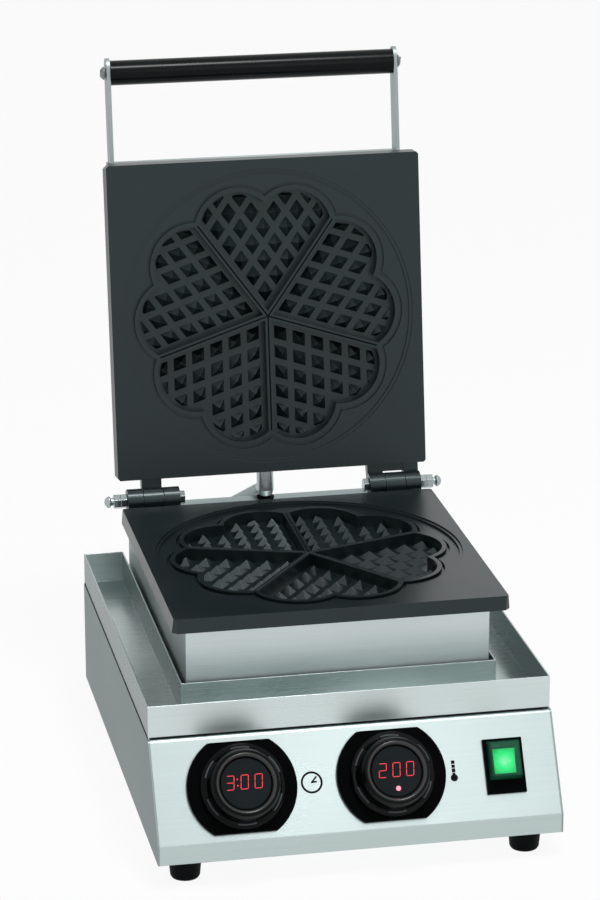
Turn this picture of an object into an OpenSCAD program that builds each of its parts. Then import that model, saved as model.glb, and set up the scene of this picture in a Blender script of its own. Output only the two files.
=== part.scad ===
// Counter-top waffle maker: sloped sheet-steel housing on rubber feet, U-shaped drip tray,
// two identical cast plates with a five-heart waffle pattern on an interleaved lug hinge,
// insulated lid with a bar handle, two ring knobs round fixed displays and a lit rocker switch.
// Frame: +X to the user's right, +Y to the back, +Z up, front at -Y, feet standing on Z = 0.
// Every module draws in machine coordinates, with Y = 0 at the centre of the lower plate, and
// in_frame() moves it to the part's frame, whose origin is at the bottom centre of the whole.

/* [Housing] */
// Width of the housing
body_w = 300; // [280:1:330]
// Height of the front lip's lower edge above the table
lip_bottom = 20; // [18:0.5:26]
// Height of the vertical front lip
lip_h = 14.4; // [10:0.2:18]
// Height of the deck above the table
deck_z = 100.5; // [96:0.5:110]
// Front face of the lip, measured from the plate centre
lip_y = -196.2; // [-205:0.1:-190]
// Front edge of the deck
deck_front_y = -157; // [-162:0.5:-154]
// Back of the housing
back_y = 176.6; // [175:0.1:190]
// Housing sheet thickness
sheet = 1.2; // [1:0.1:1.5]

/* [Drip tray] */
// Gap between the side arms of the U and the lower casing
tray_side_gap = 3.6; // [1:0.1:8]
// Gap between the front channel and the lower casing
tray_front_gap = 2.9; // [1:0.1:8]
// Height of the tray walls
tray_h = 25; // [15:0.5:35]

/* [Baking plates] */
// Side of the square plate at its face
plate_w = 250; // [250:1:254]
// Thickness of the plate's rim
plate_t = 10.9; // [10:0.1:13]
// Height of the lower plate's face above the table
face_z = 180.2; // [178:0.1:190]
// Gap between the two faces when the lid is closed
plate_gap = 1.6; // [1:0.1:3]
// Radius of the round recess
recess_r = 117.4; // [116:0.1:118]
// Distance of the lobe centres from the plate centre
lobe_pos = 72; // [71:0.5:73]
// Radius of a lobe at the middle of its ridge
lobe_r = 33; // [32:0.5:34]
// Depth of the baking cavity below the face
cavity_depth = 10.5; // [9:0.1:12]
// Distance of the hinge axis behind the plate's rear edge
hinge_reach = 16; // [15:0.1:18]

/* [Lid] */
// Angle between the open and the closed lid, degrees
lid_open = 98.4; // [90:0.1:100]
// Height of the lid from its face to the top of its casing
lid_h = 48; // [48:0.5:56]
// Distance of the grip's axis from the hinge axis
grip_reach = 335.7; // [320:0.1:345]
// Diameter of the grip
grip_d = 19.6; // [18:0.1:24]

/* [Controls] */
// Diameter of the round bezels
bezel_d = 80.4; // [76:0.1:81]
// Diameter of the knobs' widest part
knob_d = 62; // [56:0.5:63]
// Diameter of the round displays
display_d = 36.6; // [32:0.1:37]

/* [Hidden] */
$fn = 96;
eps = 0.5;                 // overshoot of a cutting shape past the face it opens
touch_gap = 0.3;           // distance kept between pieces that move past each other
run_fit = 0.06;            // radial clearance of a running fit

steel = "silver";
coating = [0.20, 0.25, 0.26];
plastic = [0.08, 0.08, 0.09];

// Housing
in_w = body_w - 2 * sheet;
slope_run = deck_front_y - lip_y;
slope_rise = deck_z - lip_bottom - lip_h;
slope_l = sqrt(slope_run * slope_run + slope_rise * slope_rise);
panel_a = atan2(slope_rise, slope_run);
bend_r = 3;
flange_w = 12;
foot_x = body_w / 2 - 23.2;
foot_front_y = lip_y + 22.8;
foot_rear_y = back_y - 24.6;

// Lower casing: a folded box between the deck and the lower plate
casing_x = plate_w / 2 - 11;
casing_front = 14.7 - plate_w / 2;
casing_back = plate_w / 2 + hinge_reach + 27;
casing_sheet = 1;
casing_top = face_z - plate_t;
deck_hole = 10;            // margin of the deck's opening inside the casing

// Plates
boss_r = plate_w / 2 - 16;
boss_t = 7.1;
plate_back = plate_t + boss_t;
draft_a = 5.8;
ridge_w = 3.6;
ridge_top = 1;
recess_step = 2.6;
annulus_depth = 2.5;
moat_w = 2.4;
moat_depth = 4.4;
divider_half = 2.4;
groove = 0.6;              // half width of the groove along each divider
apex_depth = 5;
lattice = 14.87;           // distance between neighbouring parallel strips
strip_w = 5;
lobe_margin = 2.2;         // flat strip left between the pyramids and the lobe's wall
heart_half = 36;           // half the angle of one heart
axis_y = plate_w / 2 + hinge_reach;
axis_up = plate_gap / 2;
axis_z = face_z + axis_up;
barrel_r = 9.2;
barrel_gap = 0.6;          // distance of the web from the barrel that turns in front of it
lug_out = [plate_w / 2 - 18.4, plate_w / 2 - 6.2];
lug_mid = [plate_w / 2 - 34.8, plate_w / 2 - 18.8];
lug_in = [plate_w / 2 - 47.8, plate_w / 2 - 35.2];
bolt_r = 3;

// Heating assembly behind each plate, measured down from the boss
heater_ring = 0.28 * plate_w;
heater_r = 4.2;
clamp_top = 2 * heater_r;
clamp_t = 2;
clamp_half = 0.36 * plate_w;
stud = 0.268 * plate_w;
wool_half = casing_x - 10;

// Lid
lid_x = plate_w / 2 - 7;
lid_sheet = 1;
bar_t = 3;
bar_in = lid_x - lid_sheet - bar_t;
bar_low = 31;
bar_w = 15;
bar_end = grip_reach + 11.8;
grip_up = bar_low + 8;
rod_r = 4;
connector_x = -3.5;
connector_up = 19;
connector_r = 6.75;
connector_past = 6.2;      // reach of the connector past the hinge axis
connector_tip = 5;
port_r = 4.9;
port_l = 8;
port_back = 2;             // distance of the port from the hinge axis
port_tilt = 29;
port_turn = 129;

// Hose: from the connector's port in a free curve to its gland on the rear panel
hose_r = 4.6;
hose_bend = 38;            // smallest radius that the hose is bent to
hose_gland_z = 62;
gland_l = 15;
function opened(y, z) = [y * cos(lid_open) + z * sin(lid_open),
  -y * sin(lid_open) + z * cos(lid_open)];
port_dir = let (d = opened(sin(port_tilt) * sin(port_turn), cos(port_tilt)))
  [sin(port_tilt) * cos(port_turn), d[0], d[1]];
port_root = let (d = opened(-port_back, axis_up + connector_up))
  [connector_x, axis_y + d[0], axis_z + d[1]];
hose_start = port_root + port_dir * (port_l + 0.2);
hose_dip = -asin(port_dir[2]);
hose_flat = [port_dir[0], port_dir[1], 0] / cos(hose_dip);
hose_out = (back_y + gland_l + hose_bend - hose_start[1]) / hose_flat[1];
hose_x = hose_start[0] + hose_flat[0] * hose_out;

// Controls, placed by X and by the distance down the slope from the deck's edge
mid_s = slope_l / 2;
timer_x = -85.3;
temp_x = 24.9;
switch_x = 109.6;
rocker_s = mid_s - 4;
bezel_t = 5;
bezel_flat = 33.2;
knob_base = bezel_t + touch_gap;
display_top = 21.8;
hub_r = display_d / 2;
barrel_hole = 27;          // radius of the panel holes behind the bezels

// Bottom-centre origin: half way between the knobs' front and the grip's back
knob_rim = [23, 24.5];
front_most = deck_front_y - (mid_s + knob_rim[0]) * cos(panel_a) - knob_rim[1] * sin(panel_a);
rear_most = axis_y - grip_reach * cos(lid_open) + (axis_up + grip_up) * sin(lid_open)
  + grip_d / 2;
module in_frame() translate([0, -(front_most + rear_most) / 2, 0]) children();

// Turns what is drawn on the closed lid to the open rest position.
module lid_pose() {
  translate([0, axis_y, axis_z]) rotate([-lid_open, 0, 0]) translate([0, -axis_y, -axis_z])
    children();
}
// Closed lid: local +Z is up from the upper face, as drawn for the casing and the handle.
module above_face() translate([0, 0, face_z + plate_gap]) children();
// Local +Z points out of the sloped front, local +Y up the slope.
module on_slope(x, s) {
  translate([x, deck_front_y - s * cos(panel_a), deck_z - s * sin(panel_a)])
    rotate([panel_a, 0, 0]) children();
}
// Block between two corners.
module block(low, high) translate(low) cube(high - low);
// Bar along X with a section drawn in Y and Z.
module along_x(x0, x1) {
  translate([x0, 0, 0]) rotate([90, 0, 90]) linear_extrude(x1 - x0) children();
}
module rod_x(x0, x1, r) translate([x0, 0, 0]) rotate([0, 90, 0]) cylinder(r = r, h = x1 - x0);
// Domed end along X: a short cylinder of height low, rounded up to the height high.
module dome_x(x0, r, low, high) {
  n = 8;
  translate([x0, 0, 0]) rotate([0, 90, 0]) rotate_extrude() polygon(concat([[0, 0]],
    [for (i = [0 : n - 1]) [r * cos(90 * i / n), low + high * sin(90 * i / n)]],
    [[0, low + high]]));
}
module hex_x(x0, x1, flats) {
  translate([x0, 0, 0]) rotate([0, 90, 0]) cylinder(d = flats / cos(30), h = x1 - x0, $fn = 6);
}

// ---- Housing ----

// Rounds the corner b of the outline a, b, c with n arc steps of radius r.
function unit(v) = v / norm(v);
function fillet(a, b, c, r, n = 6) =
  let (u = unit(a - b), v = unit(c - b), half = acos(u * v) / 2,
       o = b + unit(u + v) * r / sin(half), start = b + u * r / tan(half) - o,
       end = b + v * r / tan(half) - o,
       a0 = atan2(start[1], start[0]), turn = atan2(start[0] * end[1] - start[1] * end[0],
       start * end))
  [for (i = [0 : n]) o + r * [cos(a0 + turn * i / n), sin(a0 + turn * i / n)]];

// Outline of the bent front and deck in Y and Z, moved inwards by t.
function shell_outline(t, r) =
  let (shift = t / sin(panel_a),
       knee = [lip_y + t, deck_z - slope_rise + (t - shift) * slope_rise / slope_run],
       brow = [deck_front_y + shift - t * slope_run / slope_rise, deck_z - t],
       foot = [lip_y + t, lip_bottom - (t > 0 ? eps : 0)],
       tail = [back_y + (t > 0 ? eps : 0), deck_z - t])
  concat([foot], fillet(foot, knee, brow, r), fillet(knee, brow, tail, r),
    [tail, [tail[0], foot[1]]]);

module front_deck_panel() {
  color(steel) in_frame() difference() {
    along_x(-in_w / 2, in_w / 2) polygon(shell_outline(0, bend_r));
    along_x(-in_w / 2 - eps, in_w / 2 + eps) polygon(shell_outline(sheet, bend_r - sheet));
    block([-casing_x + deck_hole, casing_front + deck_hole, deck_z - 2 * sheet],
      [casing_x - deck_hole, casing_back - deck_hole, deck_z + eps]);
    for (x = [timer_x, temp_x]) on_slope(x, mid_s)
      translate([0, 0, -2 * sheet]) cylinder(r = barrel_hole, h = 3 * sheet);
    on_slope(switch_x, rocker_s) block([-11.2, -15.2, -2 * sheet], [11.2, 15.2, eps]);
  }
}
// Places of the rear panel's screws, local +Z pointing out to the back.
screw_r = 1.6;
module panel_screw_places() {
  for (x = [-in_w / 2 + flange_w / 2, in_w / 2 - flange_w / 2], z = [36, 88])
    translate([x, back_y, z]) rotate([-90, 0, 0]) children();
}
module side_panel(x0) {
  color(steel) in_frame() {
    along_x(x0, x0 + sheet) polygon(shell_outline(0, bend_r));
    // inner flanges that carry the bottom plate and the rear panel
    flange_x = x0 < 0 ? x0 + sheet : x0 - flange_w;
    translate([flange_x, lip_y + 12, lip_bottom + sheet])
      cube([flange_w, back_y - lip_y - 24, sheet]);
    difference() {
      translate([flange_x, back_y - 2 * sheet, lip_bottom + 10]) cube([flange_w, sheet, 66]);
      panel_screw_places() cylinder(r = screw_r + 0.1, h = 12, center = true);
    }
  }
}
module side_panel_left() side_panel(-body_w / 2);
module side_panel_right() side_panel(body_w / 2 - sheet);

mains_pos = [in_w / 2 - 43.8, 46];
hose_pos = [hose_x, hose_gland_z];
gland_hole_r = 8;
module rear_panel() {
  color(steel) in_frame() difference() {
    block([-in_w / 2, back_y - sheet, lip_bottom + sheet], [in_w / 2, back_y, deck_z - sheet]);
    for (p = [mains_pos, hose_pos]) translate([p[0], back_y + eps, p[1]])
      rotate([90, 0, 0]) cylinder(r = gland_hole_r, h = sheet + 2 * eps);
    for (i = [0 : 6]) translate([-8 + i * 10, back_y - sheet - eps, 60])
      cube([4, sheet + 2 * eps, 24]);
    panel_screw_places() cylinder(r = screw_r + 0.1, h = 12, center = true);
  }
}
module bottom_plate() {
  color(steel) in_frame() difference() {
    block([-in_w / 2, lip_y + sheet, lip_bottom], [in_w / 2, back_y, lip_bottom + sheet]);
    for (x = [-foot_x, foot_x], y = [foot_front_y, foot_rear_y])
      translate([x, y, lip_bottom - eps]) cylinder(r = 2.6, h = sheet + 2 * eps);
    for (i = [0 : 9]) translate([-80 + i * 16, 40, lip_bottom - eps])
      cube([5, 60, sheet + 2 * eps]);
  }
}
// Tapered rubber foot with a rounded lower edge and a sunk screw hole.
module foot(x, y) {
  color(plastic) in_frame() translate([x, y, 0]) difference() {
    rotate_extrude() polygon([[0, 0], [8.5, 0], [10, 0.6], [10.9, 2.1], [12.6, lip_bottom],
      [0, lip_bottom]]);
    translate([0, 0, -eps]) cylinder(r = 5, h = 12 + eps);
    cylinder(r = 2.6, h = lip_bottom + eps);
  }
}
module foot_front_left() foot(-foot_x, foot_front_y);
module foot_front_right() foot(foot_x, foot_front_y);
module foot_rear_left() foot(-foot_x, foot_rear_y);
module foot_rear_right() foot(foot_x, foot_rear_y);
module foot_screws() {
  color("gray") in_frame()
    for (x = [-foot_x, foot_x], y = [foot_front_y, foot_rear_y]) translate([x, y, 0]) {
      translate([0, 0, 8.6]) cylinder(r = 4.4, h = 3.4);
      translate([0, 0, 8.6]) cylinder(r = 2.5, h = 18);
      translate([0, 0, lip_bottom + sheet]) cylinder(d = 8 / cos(30), h = 3.2, $fn = 6);
    }
}
// Button-head screws that hold the rear panel.
module panel_screws() {
  color("gray") in_frame() panel_screw_places() {
    cylinder(r1 = 3.2, r2 = 2.2, h = 1.8);
    translate([0, 0, -6]) cylinder(r = screw_r, h = 6.5);
  }
}

// ---- Heated base ----

module lower_casing() {
  color(steel) in_frame() difference() {
    block([-casing_x, casing_front, deck_z], [casing_x, casing_back, casing_top]);
    block([-casing_x + casing_sheet, casing_front + casing_sheet, deck_z - eps],
      [casing_x - casing_sheet, casing_back - casing_sheet, casing_top - casing_sheet]);
    block([-casing_x + casing_sheet, casing_front + casing_sheet, casing_top - 2],
      [casing_x - casing_sheet, plate_w / 2, casing_top + eps]);
  }
}
// Folded tray under the deck that keeps the casing's heat off the boards.
module heat_shield() {
  wall = 16;
  half = casing_x - 4;
  back = casing_back - 68;
  color(steel) in_frame() difference() {
    block([-half, casing_front + 4, deck_z - sheet - wall], [half, back, deck_z - sheet]);
    block([-half + 0.8, casing_front + 4.8, deck_z - sheet - wall + 0.8],
      [half - 0.8, back - 0.8, deck_z]);
    for (i = [0 : 3]) translate([-60 + i * 40, 60, deck_z - sheet - wall - eps])
      cylinder(r = 5, h = 2);
  }
}

// One heart's inside: two lobes, joined to the centre, cut to the heart's own sector.
module heart_space(r, half_gap, z0, z1, sides = $fn) {
  reach = 2 * lobe_pos;
  tip = half_gap / sin(heart_half);
  translate([0, 0, z0]) intersection() {
    union() {
      for (side = [-1, 1]) rotate([0, 0, side * heart_half / 2]) translate([lobe_pos, 0, 0])
        cylinder(r = r, h = z1 - z0, $fn = sides);
      linear_extrude(z1 - z0)
        polygon(lobe_pos * [[0, 0], [0.76, -0.56], [0.86, 0], [0.76, 0.56]]);
    }
    linear_extrude(z1 - z0) polygon([[tip, 0],
      [tip + reach * cos(heart_half), -reach * sin(heart_half)],
      [tip + reach * cos(heart_half), reach * sin(heart_half)]]);
  }
}
// Ten-lobed flower, filled to its centre.
module flower(r, z0, z1) {
  translate([0, 0, z0]) linear_extrude(z1 - z0) {
    circle(r = lobe_pos);
    for (i = [0 : 9]) rotate(heart_half * i) translate([lobe_pos, 0]) circle(r = r);
  }
}
// Round recess with its step, its lower ring and the moat round the flower's outer ridge.
module recess() {
  top = -ridge_top / 2;
  ridge_out = lobe_r + ridge_w / 2;
  translate([0, 0, -ridge_top]) cylinder(r = recess_r, h = 2 * ridge_top);
  difference() {
    union() {
      translate([0, 0, -annulus_depth])
        cylinder(r = recess_r - recess_step, h = annulus_depth + top);
      flower(ridge_out + moat_w, -moat_depth, top);
    }
    flower(ridge_out, -moat_depth - eps, eps);
  }
}
// Parallel triangular ridges along a direction turned by a from the heart's axis.
module ridge_family(a) {
  rise = cavity_depth - apex_depth;
  root = 1;                // the ridges run on this far below the cavity's floor
  half = (lattice - strip_w) / 2 * (rise + root) / rise;
  rotate([0, 0, a]) for (i = [0 : 5])
    translate([0, -sign(a) * lattice * (i + 0.75), -cavity_depth]) along_x(0, 105)
      polygon([[-half, -root], [half, -root], [0, rise]]);
}
// Rhombic pyramids of one heart, standing on the cavity floor.
module heart_pyramids() {
  intersection() {
    heart_space(lobe_r - ridge_w / 2 - lobe_margin, divider_half + 1.6, -cavity_depth - 2,
      -apex_depth + 1, 12);
    ridge_family(heart_half);
    ridge_family(-heart_half);
  }
}
// Plate rim with drafted sides and clipped corners.
module plate_slab() {
  far = 400;
  corner = plate_w / sqrt(2) - 1.2;
  intersection() {
    block([-far / 2, -far / 2, -plate_t], [far / 2, far / 2, 0]);
    rotate([0, 0, 45]) block([-corner, -corner, -far], [corner, corner, far]);
    intersection_for (a = [0 : 90 : 270]) rotate([0, 0, a]) translate([0, plate_w / 2, 0])
      rotate([draft_a, 0, 0]) block([-far / 2, -far, -far / 2], [far / 2, 0, far / 2]);
  }
}
module hinge_lug(x) {
  along_x(x[0], x[1]) polygon([[plate_w / 2 - 1, -plate_t], [axis_y - 3, axis_up - barrel_r + 0.6],
    [axis_y, axis_up], [axis_y - barrel_r + 1.5, -2], [plate_w / 2 - 1, -2]]);
  translate([0, axis_y, axis_up]) rod_x(x[0], x[1], barrel_r);
}
// The casting, face up at Z = 0, hinge at +Y: a pair of lugs joined by a web at -X, a single
// one at +X.
module plate_casting() {
  difference() {
    union() {
      plate_slab();
      translate([0, 0, -plate_back]) cylinder(r = boss_r, h = boss_t + 1);
      hinge_lug([-lug_out[1], -lug_out[0]]);
      hinge_lug([-lug_in[1], -lug_in[0]]);
      hinge_lug(lug_mid);
      block([-lug_out[0] - 1, plate_w / 2 - 1, -plate_t],
        [-lug_in[1] + 1, axis_y - barrel_r - barrel_gap, -3]);
    }
    recess();
    for (k = [0 : 4]) rotate([0, 0, -90 + 72 * k]) {
      heart_space(lobe_r - ridge_w / 2, divider_half, -cavity_depth, 1);
      rotate([0, 0, heart_half]) along_x(0, lobe_pos + 20) polygon([[-groove, 0],
        [-groove, -ridge_top], [0, -ridge_top - 1], [groove, -ridge_top], [groove, 0]]);
    }
    translate([0, axis_y, axis_up]) rod_x(-body_w, body_w, bolt_r + run_fit);
  }
  for (k = [0 : 4]) rotate([0, 0, -90 + 72 * k]) heart_pyramids();
}
module lower_plate() color(coating) in_frame() translate([0, 0, face_z]) plate_casting();

// Heating parts drawn below Z = 0, the back of the boss.
module heater() {
  ends = 14;
  translate([0, 0, -clamp_top / 2]) rotate([0, 0, 90 + ends])
    rotate_extrude(angle = 360 - 2 * ends) translate([heater_ring, 0]) circle(r = heater_r);
  for (a = [90 - ends, 90 + ends]) rotate([0, 0, a])
    translate([heater_ring, 0, -clamp_top - 14]) cylinder(r = 3.2, h = 14 + clamp_top / 2);
}
module clamp_plate() {
  difference() {
    block([-clamp_half, -clamp_half, -clamp_top - clamp_t], [clamp_half, clamp_half, -clamp_top]);
    translate([0, 0, -clamp_top - clamp_t - eps]) cylinder(r = 20, h = clamp_t + 2 * eps);
    translate([-25, heater_ring - 12, -clamp_top - clamp_t - eps]) cube([50, 22, clamp_t + 2 * eps]);
    for (x = [-stud, stud], y = [-stud, stud]) translate([x, y, -clamp_top - clamp_t - eps])
      cylinder(r = 3.2, h = clamp_t + 2 * eps);
  }
}
module clamp_nuts() {
  for (x = [-stud, stud], y = [-stud, stud]) translate([x, y, 0]) {
    translate([0, 0, -clamp_top - clamp_t - stud_l])
      cylinder(r = 3, h = clamp_top + clamp_t + stud_l);
    translate([0, 0, -clamp_top - clamp_t - 5]) cylinder(d = 10 / cos(30), h = 5, $fn = 6);
  }
}
stud_l = 9;
wool_top = clamp_top + clamp_t + stud_l + touch_gap;
module insulation(t) {
  difference() {
    block([-wool_half, -wool_half, -wool_top - t], [wool_half, wool_half, -wool_top]);
    translate([-30, heater_ring - 16, -wool_top - t - eps]) cube([60, 30, t + 2 * eps]);
  }
}
module sensor() {
  translate([0, -30, -3]) {
    rod_x(-25, 20, 3);
    rod_x(20, 34, 1.6);
  }
}
boss_z = face_z - plate_back;
module lower_heater() color("dimgray") in_frame() translate([0, 0, boss_z]) heater();
module lower_clamp_plate() color(steel) in_frame() translate([0, 0, boss_z]) clamp_plate();
module lower_clamp_nuts() color("gray") in_frame() translate([0, 0, boss_z]) clamp_nuts();
module lower_insulation() {
  color("ivory") in_frame() translate([0, 0, boss_z]) insulation(24);
}
module lower_sensor() color("gray") in_frame() translate([0, 0, boss_z]) sensor();
module safety_thermostat() {
  color("beige") in_frame() translate([70, 95, lip_bottom + sheet]) {
    cylinder(r = 16, h = 22);
    translate([-22, -5, 0]) cube([44, 10, 1.5]);
    translate([0, 0, 22]) cylinder(r = 3.5, h = 4);
    for (x = [-9, 9]) translate([x - 3, -0.4, 22]) cube([6, 0.8, 7]);
  }
}

// ---- Hinge ----

module hinge_bolts() {
  color("gainsboro") in_frame() translate([0, axis_y, axis_z]) for (side = [0, 1])
    mirror([side, 0, 0]) {
      hex_x(lug_in[0] - 4.4, lug_in[0] - 0.1, 10);
      rod_x(lug_in[0] - 1, lug_out[1] + 15, bolt_r);
    }
}
module hinge_nuts() {
  color("gainsboro") in_frame() translate([0, axis_y, axis_z]) for (side = [0, 1])
    mirror([side, 0, 0]) difference() {
      hex_x(lug_out[1] + 0.1, lug_out[1] + 5.3, 10);
      rod_x(lug_out[1] - 1, lug_out[1] + 6, bolt_r);
    }
}
module hinge_cap_nuts() {
  color("gainsboro") in_frame() translate([0, axis_y, axis_z]) for (side = [0, 1])
    mirror([side, 0, 0]) translate([lug_out[1] + 5.4, 0, 0]) difference() {
      union() {
        hex_x(0, 5.4, 10);
        dome_x(5, 4.7, 3.6, 4.2);
      }
      rod_x(-1, 9.6, bolt_r);
    }
}
// Rubber pad that the hose connector comes down on when the lid is open.
tip_low = axis_z - connector_past * sin(lid_open)
  + (axis_up + connector_up + connector_tip) * cos(lid_open);
module lid_buffer() {
  buffer_r = 7;
  color(plastic) in_frame()
    translate([connector_x, casing_back - buffer_r - touch_gap, casing_top])
      cylinder(r = buffer_r, h = tip_low - touch_gap - casing_top);
}

// ---- Controls ----

module bezel(x) {
  wall = 2;
  color(plastic) in_frame() on_slope(x, mid_s) difference() {
    union() {
      intersection() {
        union() {
          cylinder(d = bezel_d, h = bezel_t - 1.2);
          translate([0, 0, bezel_t - 1.21]) cylinder(d1 = bezel_d, d2 = bezel_d - 2.4, h = 1.21);
        }
        block([-bezel_d, -bezel_flat, -eps], [bezel_d, bezel_flat, bezel_t + eps]);
      }
      translate([0, 0, -10]) cylinder(r = barrel_hole - 0.3, h = 10 + eps);
    }
    translate([0, 0, -10 - eps]) cylinder(r = barrel_hole - 0.3 - wall, h = 10 + bezel_t + 2 * eps);
  }
}
// Fixed display on its stem, standing on the board behind the panel.
module display(x) {
  color([0.12, 0.13, 0.14]) in_frame() on_slope(x, mid_s)
    translate([0, 0, -10]) cylinder(r = hub_r, h = 10 + display_top);
}
module display_board(x) {
  color("seagreen") in_frame() on_slope(x, mid_s) {
    translate([-33, -24, -11.6]) cube([66, 48, 1.6]);
    translate([-20, -20, -16]) cube([14, 10, 4.4]);
    translate([4, -18, -20]) cube([22, 7, 8.4]);
    translate([-24, 8, -14]) cube([18, 6, 2.4]);
  }
}
// Ring knob: a revolved profile that turns on the display's stem.
module knob(x) {
  bore = hub_r + run_fit;
  r = knob_d / 2;
  color(plastic) in_frame() on_slope(x, mid_s) rotate_extrude()
    polygon([[bore, knob_base + 1], [bore + 1, knob_base], [r, knob_base], [r, 8.6],
      [r - 1, 9.6], [r - 3, 9.6], [r - 4, 10.8], [r - 5.6, 20.5],
      [knob_rim[0] + 0.8, knob_rim[1] - 0.6], knob_rim,
      [knob_rim[0] - 1.6, knob_rim[1]], [20.5, 24], [bore + 0.5, display_top],
      [bore, display_top - 0.8]]);
}
module timer_bezel() bezel(timer_x);
module timer_display() display(timer_x);
module timer_board() display_board(timer_x);
module timer_knob() knob(timer_x);
module temperature_bezel() bezel(temp_x);
module temperature_display() display(temp_x);
module temperature_board() display_board(temp_x);
module temperature_knob() knob(temp_x);

frame_size = [29, 40.4, 3];
pocket = [8, 12, 9];
pivot_down = 2;
module switch_frame() {
  shift = rocker_s - mid_s;
  color(plastic) in_frame() on_slope(switch_x, rocker_s) difference() {
    union() {
      translate([-frame_size[0] / 2, -frame_size[1] / 2 + shift, 0]) cube(frame_size);
      block([-11, -15, -24], [11, 15, eps]);
      for (x = [-6, 0, 6]) block([x - 0.4, -3, -32], [x + 0.4, 3, -24 + eps]);
    }
    block([-pocket[0], -pocket[1], -pocket[2]], [pocket[0], pocket[1], frame_size[2] + eps]);
    translate([0, 0, -pivot_down]) rod_x(-9.8, 9.8, 1.5 + run_fit);
  }
}
// Rocker drawn tipped to its "on" side: local section in Y (up the slope) and Z (outwards).
rocker_tip = 7;
module switch_rocker() {
  color("limegreen") in_frame() on_slope(switch_x, rocker_s) translate([0, 0, -pivot_down])
    rotate([rocker_tip, 0, 0]) {
      along_x(-7.6, 7.6) polygon([[-9, -3], [9, -3], [9, 8], [0, 6.6], [-9, 8]]);
      rod_x(-9.5, 9.5, 1.5);
    }
}
// Clear splash cover over the rocker, clipped round the frame's window.
cover_top = 11;
module cover_block(t) {
  low = frame_size[2] - (t > 0 ? eps : 0);
  intersection() {
    along_x(-20, 20) polygon([[-14 + t, low], [14.6 - t, low], [12.8 - t, cover_top - t],
      [-12.2 + t, cover_top - t]]);
    translate([0, 30, 0]) rotate([90, 0, 0]) linear_extrude(60) polygon([[-11.9 + t, low],
      [11.9 - t, low], [10.6 - t, cover_top - t], [-10.6 + t, cover_top - t]]);
  }
}
module switch_cover() {
  color([0.1, 0.6, 0.3, 0.5]) in_frame() on_slope(switch_x, rocker_s) difference() {
    cover_block(0);
    cover_block(1);
  }
}

// ---- Electrics ----

module power_board() {
  color("seagreen") in_frame() translate([-70, -20, lip_bottom + sheet]) {
    translate([-60, -45, 8]) cube([120, 90, 1.6]);
    for (x = [-54, 54], y = [-39, 39]) translate([x, y, 0]) cylinder(r = 3, h = 8.5);
    translate([-50, -36, 9.6]) cube([34, 28, 26]);
    for (i = [0 : 1]) translate([0 + i * 24, -34, 9.6]) cube([18, 22, 18]);
    translate([-46, 8, 9.6]) cube([60, 12, 22]);
    translate([34, 24, 9.6]) cylinder(r = 6, h = 20);
  }
}
module terminal_block() {
  length = 50;
  color("beige") in_frame()
    translate([in_w / 2 - flange_w - length - 2, back_y - 58.6, lip_bottom + sheet]) {
    cube([length, 18, 8]);
    for (i = [0 : 4]) translate([2 + i * 9.6, 2, 7]) cube([8, 14, 9]);
  }
}
// Plastic cable gland with a through bore, flange on the rear panel.
module mains_gland() {
  color(plastic) in_frame() translate([mains_pos[0], back_y, mains_pos[1]]) rotate([-90, 0, 0])
    difference() {
      union() {
        translate([0, 0, -sheet - 4]) cylinder(r = gland_hole_r - 0.2, h = sheet + 5);
        cylinder(d = 22 / cos(30), h = 5, $fn = 6);
        translate([0, 0, 4]) cylinder(r = 9.4, h = 6);
        translate([0, 0, 10]) cylinder(r1 = 9.4, r2 = 6.4, h = 7);
      }
      translate([0, 0, -sheet - 5]) cylinder(r = 4.1, h = 30);
    }
}
module hose_gland() {
  color("gainsboro") in_frame() translate([hose_pos[0], back_y, hose_pos[1]]) rotate([-90, 0, 0])
    difference() {
      union() {
        translate([0, 0, -sheet - 4]) cylinder(r = gland_hole_r - 0.2, h = sheet + 5);
        cylinder(d = 17 / cos(30), h = 5, $fn = 6);
        translate([0, 0, 4]) cylinder(r = 7, h = gland_l - 4);
      }
      translate([0, 0, -sheet - 5]) cylinder(r = 3, h = 30);
    }
}

// ---- Lid ----

module upper_plate() {
  color(coating) in_frame() lid_pose() above_face() rotate([0, 180, 0]) plate_casting();
}
module upper_casing() {
  near = plate_w / 2 - 1;
  color(steel) in_frame() lid_pose() above_face() difference() {
    block([-lid_x, -near, plate_t], [lid_x, near, lid_h]);
    block([-lid_x + lid_sheet, -near + lid_sheet, plate_t - eps],
      [lid_x - lid_sheet, near - lid_sheet, lid_h - lid_sheet]);
    for (side = [0, 1]) mirror([side, 0, 0]) block([bar_in, -near - eps, bar_low],
      [bar_in + bar_t, -near + 2, bar_low + bar_w]);
    translate([connector_x, near - 2, connector_up]) rotate([-90, 0, 0])
      cylinder(r = connector_r - 1, h = 4);
    for (side = [0, 1]) mirror([side, 0, 0]) bar_screw_places() rod_x(-10, 10, 2.1);
  }
}
module behind_upper_boss() above_face() translate([0, 0, plate_back]) mirror([0, 0, 1]) children();
module upper_heater() color("dimgray") in_frame() lid_pose() behind_upper_boss() heater();
module upper_clamp_plate() color(steel) in_frame() lid_pose() behind_upper_boss() clamp_plate();
module upper_clamp_nuts() color("gray") in_frame() lid_pose() behind_upper_boss() clamp_nuts();
module upper_insulation() {
  color("ivory") in_frame() lid_pose() behind_upper_boss()
    insulation(lid_h - lid_sheet - plate_back - wool_top - touch_gap);
}
module upper_sensor() color("gray") in_frame() lid_pose() behind_upper_boss() sensor();

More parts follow.
